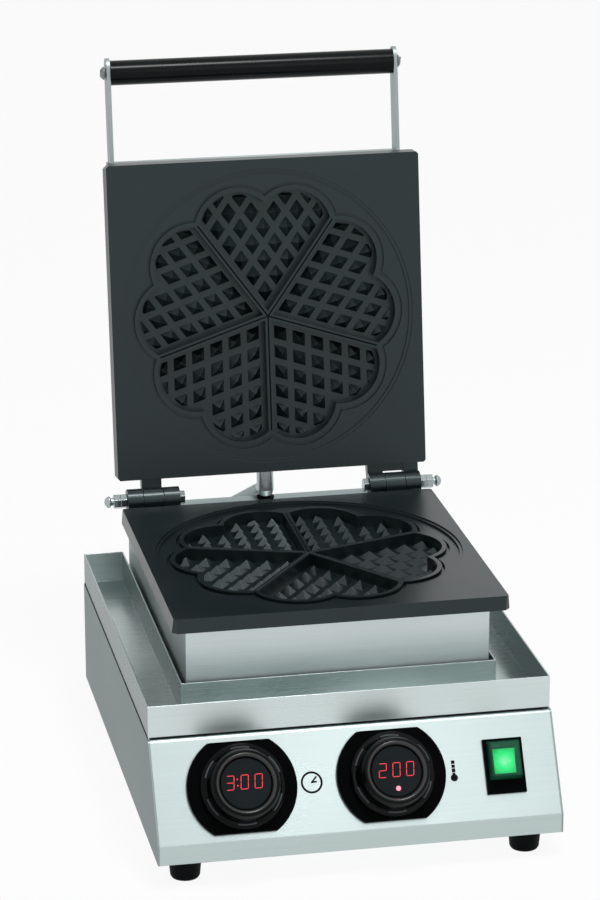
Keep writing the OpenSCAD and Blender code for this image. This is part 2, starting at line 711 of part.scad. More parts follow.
// Flat bar along the inside of the lid casing, out through its front wall to the grip.
module handle_bar(side) {
  bar_start = 65 - plate_w / 2;
  tip_y = axis_y - bar_end;
  color(steel) in_frame() lid_pose() above_face() mirror([side, 0, 0]) difference() {
    along_x(bar_in, bar_in + bar_t) {
      translate([tip_y + bar_w / 2, bar_low]) square([bar_start - tip_y - bar_w / 2, bar_w]);
      translate([tip_y + bar_w / 2, bar_low + bar_w / 2]) circle(d = bar_w);
    }
    translate([0, axis_y - grip_reach, grip_up]) rod_x(bar_in - 1, bar_in + bar_t + 1, 3.1);
    bar_screw_places() rod_x(-10, 10, 2.1);
  }
}
module handle_bar_left() handle_bar(1);
module handle_bar_right() handle_bar(0);
module handle_grip() {
  color(plastic) in_frame() lid_pose() above_face() translate([0, axis_y - grip_reach, grip_up])
    difference() {
      rod_x(-bar_in + 0.05, bar_in - 0.05, grip_d / 2);
      rod_x(-bar_in - 1, bar_in + 1, rod_r + 0.05);
    }
}
module handle_rod() {
  color("gray") in_frame() lid_pose() above_face() translate([0, axis_y - grip_reach, grip_up])
    difference() {
      rod_x(-bar_in + 0.5, bar_in - 0.5, rod_r);
      for (side = [0, 1]) mirror([side, 0, 0]) rod_x(bar_in - 22, bar_in, bolt_r + 0.05);
    }
}
// Dome-headed bolts through the bars into the rod.
module handle_bolts() {
  outer = bar_in + bar_t;
  color("gainsboro") in_frame() lid_pose() above_face()
    translate([0, axis_y - grip_reach, grip_up]) for (side = [0, 1]) mirror([side, 0, 0]) {
      rod_x(bar_in - 20, outer + 1, bolt_r);
      dome_x(outer, 5.2, 1.2, 3);
    }
}
// Button-head screws and nuts that clamp the bars to the casing's side walls.
module bar_screw_places() {
  for (y = [20, 50]) translate([lid_x, y - plate_w / 2, bar_low + bar_w / 2]) children();
}
module bar_screws() {
  inner = bar_in - lid_x;
  color("gainsboro") in_frame() lid_pose() above_face() for (side = [0, 1]) mirror([side, 0, 0])
    bar_screw_places() {
      rotate([0, 90, 0]) cylinder(r1 = 4.2, r2 = 2.8, h = 2.2);
      rod_x(inner - 5, 0.5, 2);
      hex_x(inner - 3.2, inner, 7);
    }
}
// Closed elbow under the lid casing: straight body with a tapered end and a side port.
module hose_connector() {
  near = plate_w / 2 - 1;
  end_y = axis_y + connector_past;
  color("gainsboro") in_frame() lid_pose() above_face()
    translate([connector_x, 0, connector_up]) {
      translate([0, near + 0.05, 0]) rotate([-90, 0, 0])
        cylinder(r = connector_r, h = end_y - near - 4.5);
      translate([0, end_y - 4.5, 0]) rotate([-90, 0, 0])
        cylinder(r1 = connector_r, r2 = connector_tip, h = 4.5);
      translate([0, near - 6, 0]) rotate([-90, 0, 0]) cylinder(r = connector_r - 1.3, h = 8);
      translate([0, axis_y - port_back, 0]) rotate([0, port_tilt, port_turn])
        cylinder(r = port_r, h = port_l);
    }
}

// Metal hose, swept along its route: straight out of the port, down, and round into the gland.
function arc_steps(a0, a1) = [for (i = [0 : 9]) a0 + (a1 - a0) * i / 9];
hose_route = let (
    run = (hose_out - hose_bend * (1 - sin(hose_dip))) / cos(hose_dip),
    bend_top = hose_start + port_dir * run
      - hose_bend * (hose_flat * sin(hose_dip) + [0, 0, cos(hose_dip)]),
    bend_low = [hose_x, back_y + gland_l + 0.2, hose_gland_z + hose_bend])
  concat([for (i = [0 : 3]) hose_start + port_dir * run * i / 4],
    [for (a = arc_steps(hose_dip, 90))
      bend_top + hose_bend * (hose_flat * sin(a) + [0, 0, cos(a)])],
    [for (a = arc_steps(0, 90)) bend_low + hose_bend * [0, cos(a), -sin(a)]]);
hose_sides = 12;
module conduit_hose() {
  n = len(hose_route) - 1;
  m = hose_sides;
  tangents = [for (i = [0 : n])
    unit(hose_route[min(i + 1, n)] - hose_route[max(i - 1, 0)])];
  rings = [for (i = [0 : n]) let (u = unit(cross(tangents[i], [1, 0, 0])),
    v = cross(tangents[i], u)) [for (k = [0 : m - 1]) hose_route[i] + hose_r
    * (u * cos(360 * k / m) + v * sin(360 * k / m))]];
  color("lightgray") in_frame() polyhedron(
    points = [for (ring = rings) each ring],
    faces = concat([[for (k = [0 : m - 1]) k]],
      [for (i = [0 : n - 1], k = [0 : m - 1]) [i * m + k, (i + 1) * m + k,
        (i + 1) * m + (k + 1) % m, i * m + (k + 1) % m]],
      [[for (k = [m - 1 : -1 : 0]) n * m + k]]));
}

// ---- Drip tray ----

// U-shaped tray on the deck, open at the back round the lower casing.
tray_x = body_w / 2 - 0.6;
tray_y = deck_front_y + 3.6;
tray_z = deck_z + touch_gap;
tray_sheet = 1;
module drip_tray() {
  inner_x = casing_x + tray_side_gap;
  inner_y = casing_front - tray_front_gap;
  t = tray_sheet;
  color(steel) in_frame() difference() {
    block([-tray_x, tray_y, tray_z], [tray_x, back_y, tray_z + tray_h]);
    block([-inner_x, inner_y, tray_z - eps], [inner_x, back_y + eps, tray_z + tray_h + eps]);
    for (side = [0, 1]) mirror([side, 0, 0]) block([inner_x + t, tray_y + t, tray_z + t],
      [tray_x - t, back_y - t, tray_z + tray_h + eps]);
    block([-tray_x + t, tray_y + t, tray_z + t], [tray_x - t, inner_y - t, tray_z + tray_h + eps]);
  }
}

front_deck_panel();
side_panel_left();
side_panel_right();
rear_panel();
bottom_plate();
foot_front_left();
foot_front_right();
foot_rear_left();
foot_rear_right();
foot_screws();
panel_screws();
lower_casing();
heat_shield();
lower_plate();
lower_heater();
lower_clamp_plate();
lower_clamp_nuts();
lower_insulation();
lower_sensor();
safety_thermostat();
hinge_bolts();
hinge_nuts();
hinge_cap_nuts();
lid_buffer();
timer_bezel();
timer_display();
timer_board();
temperature_bezel();
temperature_display();
temperature_board();
switch_frame();
switch_cover();
power_board();
terminal_block();
mains_gland();
hose_gland();
upper_plate();
upper_casing();
upper_heater();
upper_clamp_plate();
upper_clamp_nuts();
upper_insulation();
upper_sensor();
handle_bar_left();
handle_bar_right();
handle_grip();
handle_rod();
handle_bolts();
bar_screws();
hose_connector();
conduit_hose();
timer_knob();
temperature_knob();
switch_rocker();
drip_tray();
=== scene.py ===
import math
import bpy
import bmesh
from mathutils import Vector, Matrix


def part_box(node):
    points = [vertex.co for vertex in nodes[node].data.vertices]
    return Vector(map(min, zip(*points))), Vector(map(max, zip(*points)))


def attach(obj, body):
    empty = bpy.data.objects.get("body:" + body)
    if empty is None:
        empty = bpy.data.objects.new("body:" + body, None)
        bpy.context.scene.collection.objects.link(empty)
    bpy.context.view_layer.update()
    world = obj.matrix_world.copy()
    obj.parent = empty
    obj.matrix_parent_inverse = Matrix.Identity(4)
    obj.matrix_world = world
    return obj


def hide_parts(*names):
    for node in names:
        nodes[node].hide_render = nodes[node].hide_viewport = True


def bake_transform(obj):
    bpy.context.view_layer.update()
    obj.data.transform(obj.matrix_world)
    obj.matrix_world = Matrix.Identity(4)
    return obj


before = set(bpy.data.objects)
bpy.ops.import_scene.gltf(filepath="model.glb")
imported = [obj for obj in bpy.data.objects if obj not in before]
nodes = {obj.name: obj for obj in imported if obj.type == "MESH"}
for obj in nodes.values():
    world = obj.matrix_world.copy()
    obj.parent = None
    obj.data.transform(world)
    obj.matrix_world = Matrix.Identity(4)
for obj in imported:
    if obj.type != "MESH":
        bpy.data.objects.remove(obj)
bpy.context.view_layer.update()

# ---------------------------------------------------------------- geometry taken from the part
MM = 0.001
SHIFT_Y = -14.904e-3              # part.scad's move from the plate centre to the base centre
PANEL_TOP = (-157.0, 100.5)       # y and z of the control panel's upper edge, mm
PANEL_SIZE = (66.1, 39.2)         # its height and depth, mm
PANEL_A = math.atan2(*PANEL_SIZE)
MID_S = math.hypot(*PANEL_SIZE) / 2
REAR_Y = 176.6                    # the housing's rear face, mm
AXIS_Y, AXIS_Z = 141, 181         # the lid's hinge axis, mm
LID_OPEN = math.radians(98.4)
KNOBS = (("timer_knob", -85.3), ("temperature_knob", 24.9))  # and their places across the panel
GLASS = 21.8                      # the displays' front above the panel, mm
PRINT = 0.05 * MM                 # thickness of printed marks
PRINT_LIFT = 0.01                 # their height above the panel, mm


def slope_matrix(x, s, lift=0.0):
    """Frame on the sloped panel in metres: local +Y up the slope, local +Z outwards."""
    y = PANEL_TOP[0] - s * math.cos(PANEL_A)
    z = PANEL_TOP[1] - s * math.sin(PANEL_A)
    m = Matrix.Translation((x / 1000, y / 1000 + SHIFT_Y, z / 1000))
    return m @ Matrix.Rotation(PANEL_A, 4, "X") @ Matrix.Translation((0, 0, lift / 1000))


def lid_turn(y, z):
    """A point of the closed lid, given from the hinge axis, turned to the open pose."""
    a = LID_OPEN
    return y * math.cos(a) + z * math.sin(a), -y * math.sin(a) + z * math.cos(a)


# ---------------------------------------------------------------- materials
def new_mat(name):
    m = bpy.data.materials.new(name)
    m.use_nodes = True
    nt = m.node_tree
    return m, nt, nt.nodes["Principled BSDF"]


def add(nt, kind, **values):
    n = nt.nodes.new(kind)
    for k, v in values.items():
        if k.startswith("in_"):
            n.inputs[int(k[3:])].default_value = v
        else:
            setattr(n, k, v)
    return n


def coords(nt, scale=(1, 1, 1)):
    tc = add(nt, "ShaderNodeTexCoord")
    mp = add(nt, "ShaderNodeMapping")
    mp.inputs["Scale"].default_value = scale
    nt.links.new(tc.outputs["Object"], mp.inputs["Vector"])
    return mp.outputs["Vector"]


def noise(nt, vector, scale, detail=2.0, roughness=0.5):
    n = add(nt, "ShaderNodeTexNoise")
    n.inputs["Scale"].default_value = scale
    n.inputs["Detail"].default_value = detail
    n.inputs["Roughness"].default_value = roughness
    nt.links.new(vector, n.inputs["Vector"])
    return n.outputs["Fac"]


def ramp(nt, source, stops):
    r = add(nt, "ShaderNodeValToRGB")
    els = r.color_ramp.elements
    els[0].position, els[0].color = stops[0][0], stops[0][1]
    els[1].position, els[1].color = stops[-1][0], stops[-1][1]
    for p, c in stops[1:-1]:
        e = els.new(p)
        e.color = c
    nt.links.new(source, r.inputs["Fac"])
    return r.outputs["Color"]


def between(nt, source, low, high):
    """The source's 0 to 1 laid over low to high."""
    r = add(nt, "ShaderNodeMapRange")
    r.inputs["To Min"].default_value = low
    r.inputs["To Max"].default_value = high
    nt.links.new(source, r.inputs["Value"])
    return r.outputs["Result"]


def relief(nt, height, strength, distance):
    bump = add(nt, "ShaderNodeBump")
    bump.inputs["Strength"].default_value = strength
    bump.inputs["Distance"].default_value = distance
    nt.links.new(height, bump.inputs["Height"])
    return bump


def round_edges(nt, bsdf, radius, bump):
    """Edges rounded in the shading only; the bump reads the rounded normal."""
    bv = add(nt, "ShaderNodeBevel", samples=6)
    bv.inputs["Radius"].default_value = radius
    nt.links.new(bv.outputs["Normal"], bump.inputs["Normal"])
    nt.links.new(bump.outputs["Normal"], bsdf.inputs["Normal"])


def shades(color, down, up):
    """The colour a little darker and a little paler."""
    return (tuple(c * (1 - down) for c in color) + (1,),
            tuple(min(1, c * (1 + up)) for c in color) + (1,))


def brushed(name, tint, rough, grain, depth, bevel=0.0008, aniso=0.0, edge=1.0):
    """Brushed stainless steel, the grain drawn out along the axis with the smallest scale.

    edge is the share of the reflection that is kept at a flat angle.
    """
    m, nt, b = new_mat(name)
    b.inputs["Metallic"].default_value = 1.0
    b.inputs["Specular Tint"].default_value = (edge, edge, edge, 1)
    b.inputs["Anisotropic"].default_value = aniso
    b.inputs["Anisotropic Rotation"].default_value = 0.25
    lines = noise(nt, coords(nt, grain), 1.0, 6.0, 0.65)
    soft = noise(nt, coords(nt), 9.0, 3.0)
    dark, pale = shades(tint, 0.06, 0.06 * 0.6)
    nt.links.new(ramp(nt, lines, [(0.25, dark), (0.75, pale)]), b.inputs["Base Color"])
    gloss = add(nt, "ShaderNodeMath", operation="MULTIPLY_ADD", in_1=0.10)
    nt.links.new(lines, gloss.inputs[0])
    nt.links.new(between(nt, soft, rough - 0.07, rough + 0.09), gloss.inputs[2])
    nt.links.new(gloss.outputs["Value"], b.inputs["Roughness"])
    round_edges(nt, b, bevel, relief(nt, lines, depth, 0.0004))
    return m


def moulded(name, color, rough, scale, depth, spec=0.5, bevel=0.0006):
    """Moulded plastic or rubber: a fine grain, and a colour and gloss that vary a little."""
    m, nt, b = new_mat(name)
    b.inputs["Specular IOR Level"].default_value = spec
    vec = coords(nt)
    fine = noise(nt, vec, scale, 4.0)
    broad = noise(nt, vec, 35.0, 5.0)
    dark, pale = shades(color, 0.25, 0.25)
    nt.links.new(ramp(nt, broad, [(0.3, dark), (0.7, pale)]), b.inputs["Base Color"])
    nt.links.new(between(nt, broad, rough - 0.05, rough + 0.08), b.inputs["Roughness"])
    round_edges(nt, b, bevel, relief(nt, fine, depth, 0.0002))
    return m


def glow(name, color, strength):
    m, nt, b = new_mat(name)
    b.inputs["Base Color"].default_value = tuple(c * 0.4 for c in color) + (1,)
    b.inputs["Roughness"].default_value = 0.35
    b.inputs["Emission Color"].default_value = color + (1,)
    b.inputs["Emission Strength"].default_value = strength
    return m


MATS = {}


def assign(mat, *names):
    for n in names:
        if not nodes[n].material_slots:
            nodes[n].data.materials.append(mat)
        for s in nodes[n].material_slots:
            s.material = mat


def build_materials():
    # name, tint, roughness, grain along x, y and z, depth of the grain
    MATS["front"] = brushed("steel_front", (0.49, 0.577, 0.565), 0.24, (6, 1300, 1300), 0.04,
                            aniso=0.2)
    # painted shade: the side panels are the housing's steel given a darker tint than the front, for
    # the shade that falls on the sides
    MATS["side"] = brushed("steel_side_painted_shade", (0.29, 0.35, 0.345), 0.34, (1300, 6, 1300), 0.04,
                           aniso=0.3, edge=0.6)
    MATS["tray"] = brushed("steel_tray", (0.60, 0.68, 0.67), 0.22, (5, 900, 900), 0.02,
                           bevel=0.0006, aniso=0.75, edge=0.45)
    MATS["casing"] = brushed("steel_casing", (0.66, 0.735, 0.73), 0.36, (5, 900, 900), 0.02,
                             aniso=0.5, edge=0.3)
    MATS["bar"] = brushed("steel_bar", (0.33, 0.375, 0.375), 0.44, (900, 900, 8), 0.04,
                          bevel=0.0005)
    MATS["bolt"] = brushed("steel_bolt", (0.38, 0.42, 0.425), 0.18, (300, 300, 300), 0.02,
                           bevel=0.0005)
    MATS["dark_bolt"] = brushed("steel_dark", (0.20, 0.22, 0.225), 0.24, (300, 300, 300), 0.02,
                                bevel=0.0005)
    MATS["hose"] = brushed("steel_hose", (0.30, 0.335, 0.34), 0.26, (400, 400, 400), 0.03,
                           bevel=0.0003)
    MATS["heater"] = brushed("steel_heater", (0.30, 0.29, 0.28), 0.45, (200, 200, 200), 0.05)
    # name, colour, roughness, scale and depth of the grain, specular level, rounding of edges
    MATS["rubber"] = moulded("rubber_black", (0.003, 0.004, 0.0045), 0.55, 1400, 0.10, 0.05, 0.001)
    MATS["control"] = moulded("plastic_control", (0.001, 0.0012, 0.0015), 0.5, 1800, 0.04, 0.02)
    MATS["knob"] = moulded("plastic_knob", (0.001, 0.0015, 0.002), 0.18, 1800, 0.02, 0.08, 0.0007)
    MATS["grip"] = moulded("plastic_grip", (0.002, 0.003, 0.0035), 0.2, 900, 0.02, 0.11, 0.0004)
    MATS["polish"] = moulded("plastic_polish", (0.004, 0.006, 0.006), 0.22, 1800, 0.01, 0.35,
                             0.0002)
    MATS["polish"].node_tree.nodes["Principled BSDF"].inputs["IOR"].default_value = 1.7
    # painted shadow: near-black for the strip that stands for the shade under the tray's edge
    MATS["gap"] = moulded("painted_shadow_black", (0.004, 0.005, 0.005), 0.7, 2500, 0.02, 0.05, 0.0001)
    MATS["window"] = moulded("display_window", (0.008, 0.0115, 0.013), 0.35, 1500, 0.01, 0.08)
    MATS["board"] = moulded("board_green", (0.02, 0.14, 0.07), 0.45, 300, 0.1)
    MATS["wool"] = moulded("insulation_wool", (0.62, 0.58, 0.48), 0.9, 250, 0.6)
    MATS["ceramic"] = moulded("ceramic_white", (0.72, 0.70, 0.64), 0.4, 400, 0.05)
    MATS["red"] = glow("segments_red", (1.0, 0.045, 0.075), 0.85)
    # black for the printed icons, also used as painted shade for the bolt slots
    MATS["ink"] = moulded("print_and_slot_shade_black", (0.002, 0.002, 0.002), 0.6, 2500, 0.02, 0.1)
    # paler grey than the knob: painted highlight on the raised grip marks
    MATS["marks"] = moulded("plastic_marks_painted_highlight", (0.06, 0.07, 0.075), 0.35, 1800, 0.02, 0.3, 0.0002)
    MATS["plate"] = casting_mat()
    MATS["rocker"] = rocker_mat()
    MATS["cover"] = cover_mat()
    MATS["led"] = glow("led_red", (1.0, 0.16, 0.22), 2.6)


def casting_mat():
    """Dark grey-green non-stick coating on a sand casting: soft sheen and fine pits."""
    m, nt, b = new_mat("cast_iron")
    b.inputs["Specular IOR Level"].default_value = 0.47
    b.inputs["Specular Tint"].default_value = (0.86, 1.0, 1.0, 1)
    vec = coords(nt)
    bump = relief(nt, noise(nt, vec, 1100.0, 5.0), 0.10, 0.0003)
    broad = noise(nt, vec, 22.0, 6.0)
    colours = [(0.3, (0.0045, 0.0085, 0.0095, 1)), (0.7, (0.0065, 0.0115, 0.0125, 1))]
    nt.links.new(ramp(nt, broad, colours), b.inputs["Base Color"])
    nt.links.new(between(nt, broad, 0.26, 0.35), b.inputs["Roughness"])
    # three parts of each face's own flat normal to one of the rounded edges, so facets stay flat
    geo = add(nt, "ShaderNodeNewGeometry")
    flat = add(nt, "ShaderNodeVectorMath", operation="SCALE")
    flat.inputs["Scale"].default_value = 3.0
    nt.links.new(geo.outputs["True Normal"], flat.inputs[0])
    bv = add(nt, "ShaderNodeBevel", samples=6)
    bv.inputs["Radius"].default_value = 0.0005
    both = add(nt, "ShaderNodeVectorMath", operation="ADD")
    nt.links.new(flat.outputs["Vector"], both.inputs[0])
    nt.links.new(bv.outputs["Normal"], both.inputs[1])
    unit = add(nt, "ShaderNodeVectorMath", operation="NORMALIZE")
    nt.links.new(both.outputs["Vector"], unit.inputs[0])
    nt.links.new(unit.outputs["Vector"], bump.inputs["Normal"])
    nt.links.new(bump.outputs["Normal"], b.inputs["Normal"])
    return m


def rocker_mat():
    """Lit green rocker, palest in the middle where the lamp stands."""
    m, nt, b = new_mat("rocker_lit")
    lo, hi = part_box("switch_rocker")
    scale = 70
    mp = add(nt, "ShaderNodeMapping")
    mp.inputs["Scale"].default_value = (scale, scale, scale)
    mp.inputs["Location"].default_value = [-scale / 2 * (a + c) for a, c in zip(lo, hi)]
    nt.links.new(add(nt, "ShaderNodeTexCoord").outputs["Object"], mp.inputs["Vector"])
    ball = add(nt, "ShaderNodeTexGradient", gradient_type="SPHERICAL")
    nt.links.new(mp.outputs["Vector"], ball.inputs["Vector"])
    mix = add(nt, "ShaderNodeMath", operation="MULTIPLY_ADD", in_1=0.22)
    nt.links.new(noise(nt, coords(nt), 420.0), mix.inputs[0])
    nt.links.new(ball.outputs["Fac"], mix.inputs[2])
    greens = ramp(nt, mix.outputs["Value"], [(0.25, (0.004, 0.50, 0.09, 1)),
                                             (0.62, (0.03, 0.95, 0.24, 1)),
                                             (1.0, (0.50, 1.0, 0.66, 1))])
    nt.links.new(greens, b.inputs["Base Color"])
    nt.links.new(greens, b.inputs["Emission Color"])
    b.inputs["Emission Strength"].default_value = 1.6
    b.inputs["Roughness"].default_value = 0.25
    return m


def cover_mat():
    """Clear green hood over the switch."""
    m, nt, b = new_mat("splash_cover")
    cloud = noise(nt, coords(nt), 60.0)
    colours = [(0.3, (0.010, 0.17, 0.085, 1)), (0.7, (0.018, 0.22, 0.115, 1))]
    nt.links.new(ramp(nt, cloud, colours), b.inputs["Base Color"])
    nt.links.new(between(nt, cloud, 0.08, 0.20), b.inputs["Roughness"])
    b.inputs["Alpha"].default_value = 0.36
    b.inputs["IOR"].default_value = 1.45
    return m


build_materials()
assign(MATS["front"], "front_deck_panel", "bottom_plate", "rear_panel")
assign(MATS["side"], "side_panel_left", "side_panel_right")
assign(MATS["tray"], "drip_tray")
assign(MATS["casing"], "lower_casing", "upper_casing", "heat_shield", "lower_clamp_plate",
       "upper_clamp_plate")
assign(MATS["bar"], "handle_bar_left", "handle_bar_right")
assign(MATS["bolt"], "hinge_bolts", "hinge_nuts", "hinge_cap_nuts", "bar_screws", "panel_screws",
       "foot_screws", "lower_clamp_nuts", "upper_clamp_nuts", "hose_connector", "hose_gland")
assign(MATS["dark_bolt"], "handle_bolts")
assign(MATS["heater"], "lower_heater", "upper_heater", "lower_sensor", "upper_sensor", "handle_rod")
assign(MATS["rubber"], "foot_front_left", "foot_front_right", "foot_rear_left", "foot_rear_right",
       "lid_buffer", "mains_gland")
assign(MATS["control"], "timer_bezel", "temperature_bezel", "switch_frame")
assign(MATS["knob"], "timer_knob", "temperature_knob")
assign(MATS["window"], "timer_display", "temperature_display")
assign(MATS["board"], "timer_board", "temperature_board", "power_board")
assign(MATS["wool"], "lower_insulation", "upper_insulation")
assign(MATS["ceramic"], "safety_thermostat", "terminal_block")
assign(MATS["grip"], "handle_grip")
assign(MATS["plate"], "upper_plate", "lower_plate")
assign(MATS["rocker"], "switch_rocker")
assign(MATS["cover"], "switch_cover")
assign(MATS["hose"], "conduit_hose")


# ---------------------------------------------------------------- pieces made here
def mesh_piece(name, verts, faces, mat, body, matrix=None, smooth=False):
    me = bpy.data.meshes.new(name)
    me.from_pydata(verts, [], faces)
    me.validate()
    bm = bmesh.new()
    bm.from_mesh(me)
    bmesh.ops.recalc_face_normals(bm, faces=bm.faces)
    bm.to_mesh(me)
    bm.free()
    me.materials.append(mat)
    ob = bpy.data.objects.new(name, me)
    bpy.context.scene.collection.objects.link(ob)
    if matrix is not None:
        me.transform(matrix)
    if smooth:
        for p in me.polygons:
            p.use_smooth = True
    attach(ob, body)


def prism(outline, z0, z1):
    """An outline drawn out from z0 to z1."""
    n = len(outline)
    verts = [(x, y, z0) for x, y in outline] + [(x, y, z1) for x, y in outline]
    faces = [tuple(range(n - 1, -1, -1)), tuple(range(n, 2 * n))]
    faces += [(i, (i + 1) % n, n + (i + 1) % n, n + i) for i in range(n)]
    return verts, faces


def join(parts):
    verts, faces = [], []
    for v, f in parts:
        base = len(verts)
        verts += v
        faces += [tuple(i + base for i in t) for t in f]
    return verts, faces


def mm(points):
    return [(x * MM, y * MM) for x, y in points]


def disc(r, n, x=0.0, y=0.0):
    return [(x + r * math.cos(2 * math.pi * k / n), y + r * math.sin(2 * math.pi * k / n))
            for k in range(n)]


def ring_prism(r0, r1, z0, z1, n, a0=0.0, a1=360.0):
    """A ring, or its arc from a0 to a1 degrees, of rectangular section."""
    full = abs(a1 - a0 - 360) < 1e-6
    steps = n if full else n + 1
    ang = [math.radians(a0 + (a1 - a0) * i / n) for i in range(steps)]
    verts = []
    for a in ang:
        for r, z in ((r0, z0), (r1, z0), (r1, z1), (r0, z1)):
            verts.append((r * math.cos(a), r * math.sin(a), z))
    faces = []
    for i in range(n):
        j = (i + 1) % steps
        for k in range(4):
            faces.append((i * 4 + k, i * 4 + (k + 1) % 4, j * 4 + (k + 1) % 4, j * 4 + k))
    if not full:
        faces += [(0, 1, 2, 3), tuple((steps - 1) * 4 + k for k in (3, 2, 1, 0))]
    return verts, faces


SEGMENTS = {"0": "abcdef", "2": "abged", "3": "abgcd"}


def digit_outline(ch, w, h, t, slant):
    """Segments of one seven-segment digit as thin pointed bars, centred at the origin."""
    hw, hh = w / 2, h / 2
    gap = t * 0.35
    places = {
        "a": ((-hw, hh), (hw, hh)), "g": ((-hw, 0), (hw, 0)), "d": ((-hw, -hh), (hw, -hh)),
        "f": ((-hw, 0), (-hw, hh)), "b": ((hw, 0), (hw, hh)),
        "e": ((-hw, -hh), (-hw, 0)), "c": ((hw, -hh), (hw, 0)),
    }
    out = []
    for s in SEGMENTS[ch]:
        (x0, y0), (x1, y1) = places[s]
        dx, dy = x1 - x0, y1 - y0
        length = math.hypot(dx, dy)
        ux, uy = dx / length, dy / length
        nx, ny = -uy, ux
        a, b = gap, length - gap
        pts = [(a, 0), (a + t / 2, t / 2), (b - t / 2, t / 2), (b, 0), (b - t / 2, -t / 2),
               (a + t / 2, -t / 2)]
        seg = [(x0 + ux * p + nx * q, y0 + uy * p + ny * q) for p, q in pts]
        out.append([(x + slant * y, y) for x, y in seg])
    return out


def display_digits(name, text, cx):
    parts = []
    width, height, stroke, slant, thick = 5.3, 10.0, 0.5, 0.09, 0.15 * MM
    glyphs = [c for c in text if c != ":"]
    places = [-11.4, -1.0, 9.2] if ":" in text else [-10.1, 0.0, 10.1]
    for c, px in zip(glyphs, places):
        for seg in digit_outline(c, width, height, stroke, slant):
            parts.append(prism(mm([(p[0] + px, p[1]) for p in seg]), 0, thick))
    if ":" in text:
        for dy in (-2.3, 2.3):
            parts.append(prism(mm(disc(0.55, 8, -6.2, dy)), 0, thick))
    v, f = join(parts)
    mesh_piece(name, v, f, MATS["red"], "base",
               slope_matrix(cx, MID_S - 1.2, GLASS))


display_digits("timer_digits", "3:00", KNOBS[0][1])
display_digits("temperature_digits", "200", KNOBS[1][1])
v, f = ring_prism(0.0001 * MM, 1.7 * MM, 0, 0.5 * MM, 24)
mesh_piece("heating_light", v, f, MATS["led"], "base",
           slope_matrix(KNOBS[1][1], MID_S + 12.4, GLASS))

# clock icon: a printed ring with two hands, each with its angle and length
parts = [ring_prism(6.5 * MM, 8.05 * MM, 0, PRINT, 64)]
half, tail = 0.62, -0.4
for ang, length in ((47, 5.6), (5, 3.8)):
    c, s = math.cos(math.radians(ang)), math.sin(math.radians(ang))
    pts = [(tail * c + half * s, tail * s - half * c),
           (length * c + half * s, length * s - half * c),
           (length * c - half * s, length * s + half * c),
           (tail * c - half * s, tail * s + half * c)]
    parts.append(prism(mm(pts), 0, PRINT))
v, f = join(parts)
mesh_piece("timer_icon", v, f, MATS["ink"], "base",
           slope_matrix(-33.8, 38.9, PRINT_LIFT))

# thermometer icon: a bulb and a broken column, each bar with its ends and half width
parts = [prism(mm(disc(2.7, 32)), 0, PRINT)]
for y0, y1, half in ((2.0, 3.7, 1.1), (4.0, 6.9, 1.3), (7.3, 9.7, 1.3), (10.2, 12.7, 1.35)):
    parts.append(prism(mm([(-half, y0), (half, y0), (half, y1), (-half, y1)]), 0, PRINT))
v, f = join(parts)
mesh_piece("temperature_icon", v, f, MATS["ink"], "base",
           slope_matrix(71.7, 44.0, PRINT_LIFT))


# ---------------------------------------------------------------- flexible metal hose
HOSE_R = 4.6e-3


def hose_path(step=0.7):
    """The hose's centreline in the frame, from the connector's port to its gland.

    A straight run out of the tilted connector, a bend down behind the machine and a bend in to
    the gland. Worked out in mm from the plate centre, with a point every step.
    """
    tilt, turn, bend = math.radians(29), math.radians(129), 38.0
    port, neck = (-3.5, -2.0, 19.8), 8.2       # on the closed lid, from the hinge axis
    behind, gland_end, gland_z = 15, 15.2, 62  # past the rear face, and the gland's height
    dy, dz = lid_turn(math.sin(tilt) * math.sin(turn), math.cos(tilt))
    out = Vector((math.sin(tilt) * math.cos(turn), dy, dz))
    ry, rz = lid_turn(port[1], port[2])
    start = Vector((port[0], AXIS_Y + ry, AXIS_Z + rz)) + out * neck
    dip = -math.asin(out.z)
    flat = Vector((out.x, out.y, 0)) / math.cos(dip)
    reach = (REAR_Y + behind + bend - start.y) / flat.y
    gland = Vector((start.x + flat.x * reach, REAR_Y + gland_end, gland_z))
    run = (reach - bend * (1 - math.sin(dip))) / math.cos(dip)
    top = start + out * run - bend * (flat * math.sin(dip) + Vector((0, 0, math.cos(dip))))
    low = gland + Vector((0, 0, bend))
    line = [start, start + out * run]
    n = 24
    line += [top + bend * (flat * math.sin(a) + Vector((0, 0, math.cos(a))))
             for a in [dip + (math.pi / 2 - dip) * i / n for i in range(1, n + 1)]]
    line += [low + bend * Vector((0, math.cos(a), -math.sin(a)))
             for a in [math.pi / 2 * i / n for i in range(n + 1)]]
    pts, left = [line[0]], step
    for a, b in zip(line, line[1:]):
        length = (b - a).length
        if length < 1e-6:
            continue
        at = left
        while at <= length:
            pts.append(a + (b - a) * (at / length))
            at += step
        left = at - length
    pts.append(line[-1])
    return [Vector((q.x / 1000, q.y / 1000 + SHIFT_Y, q.z / 1000)) for q in pts]


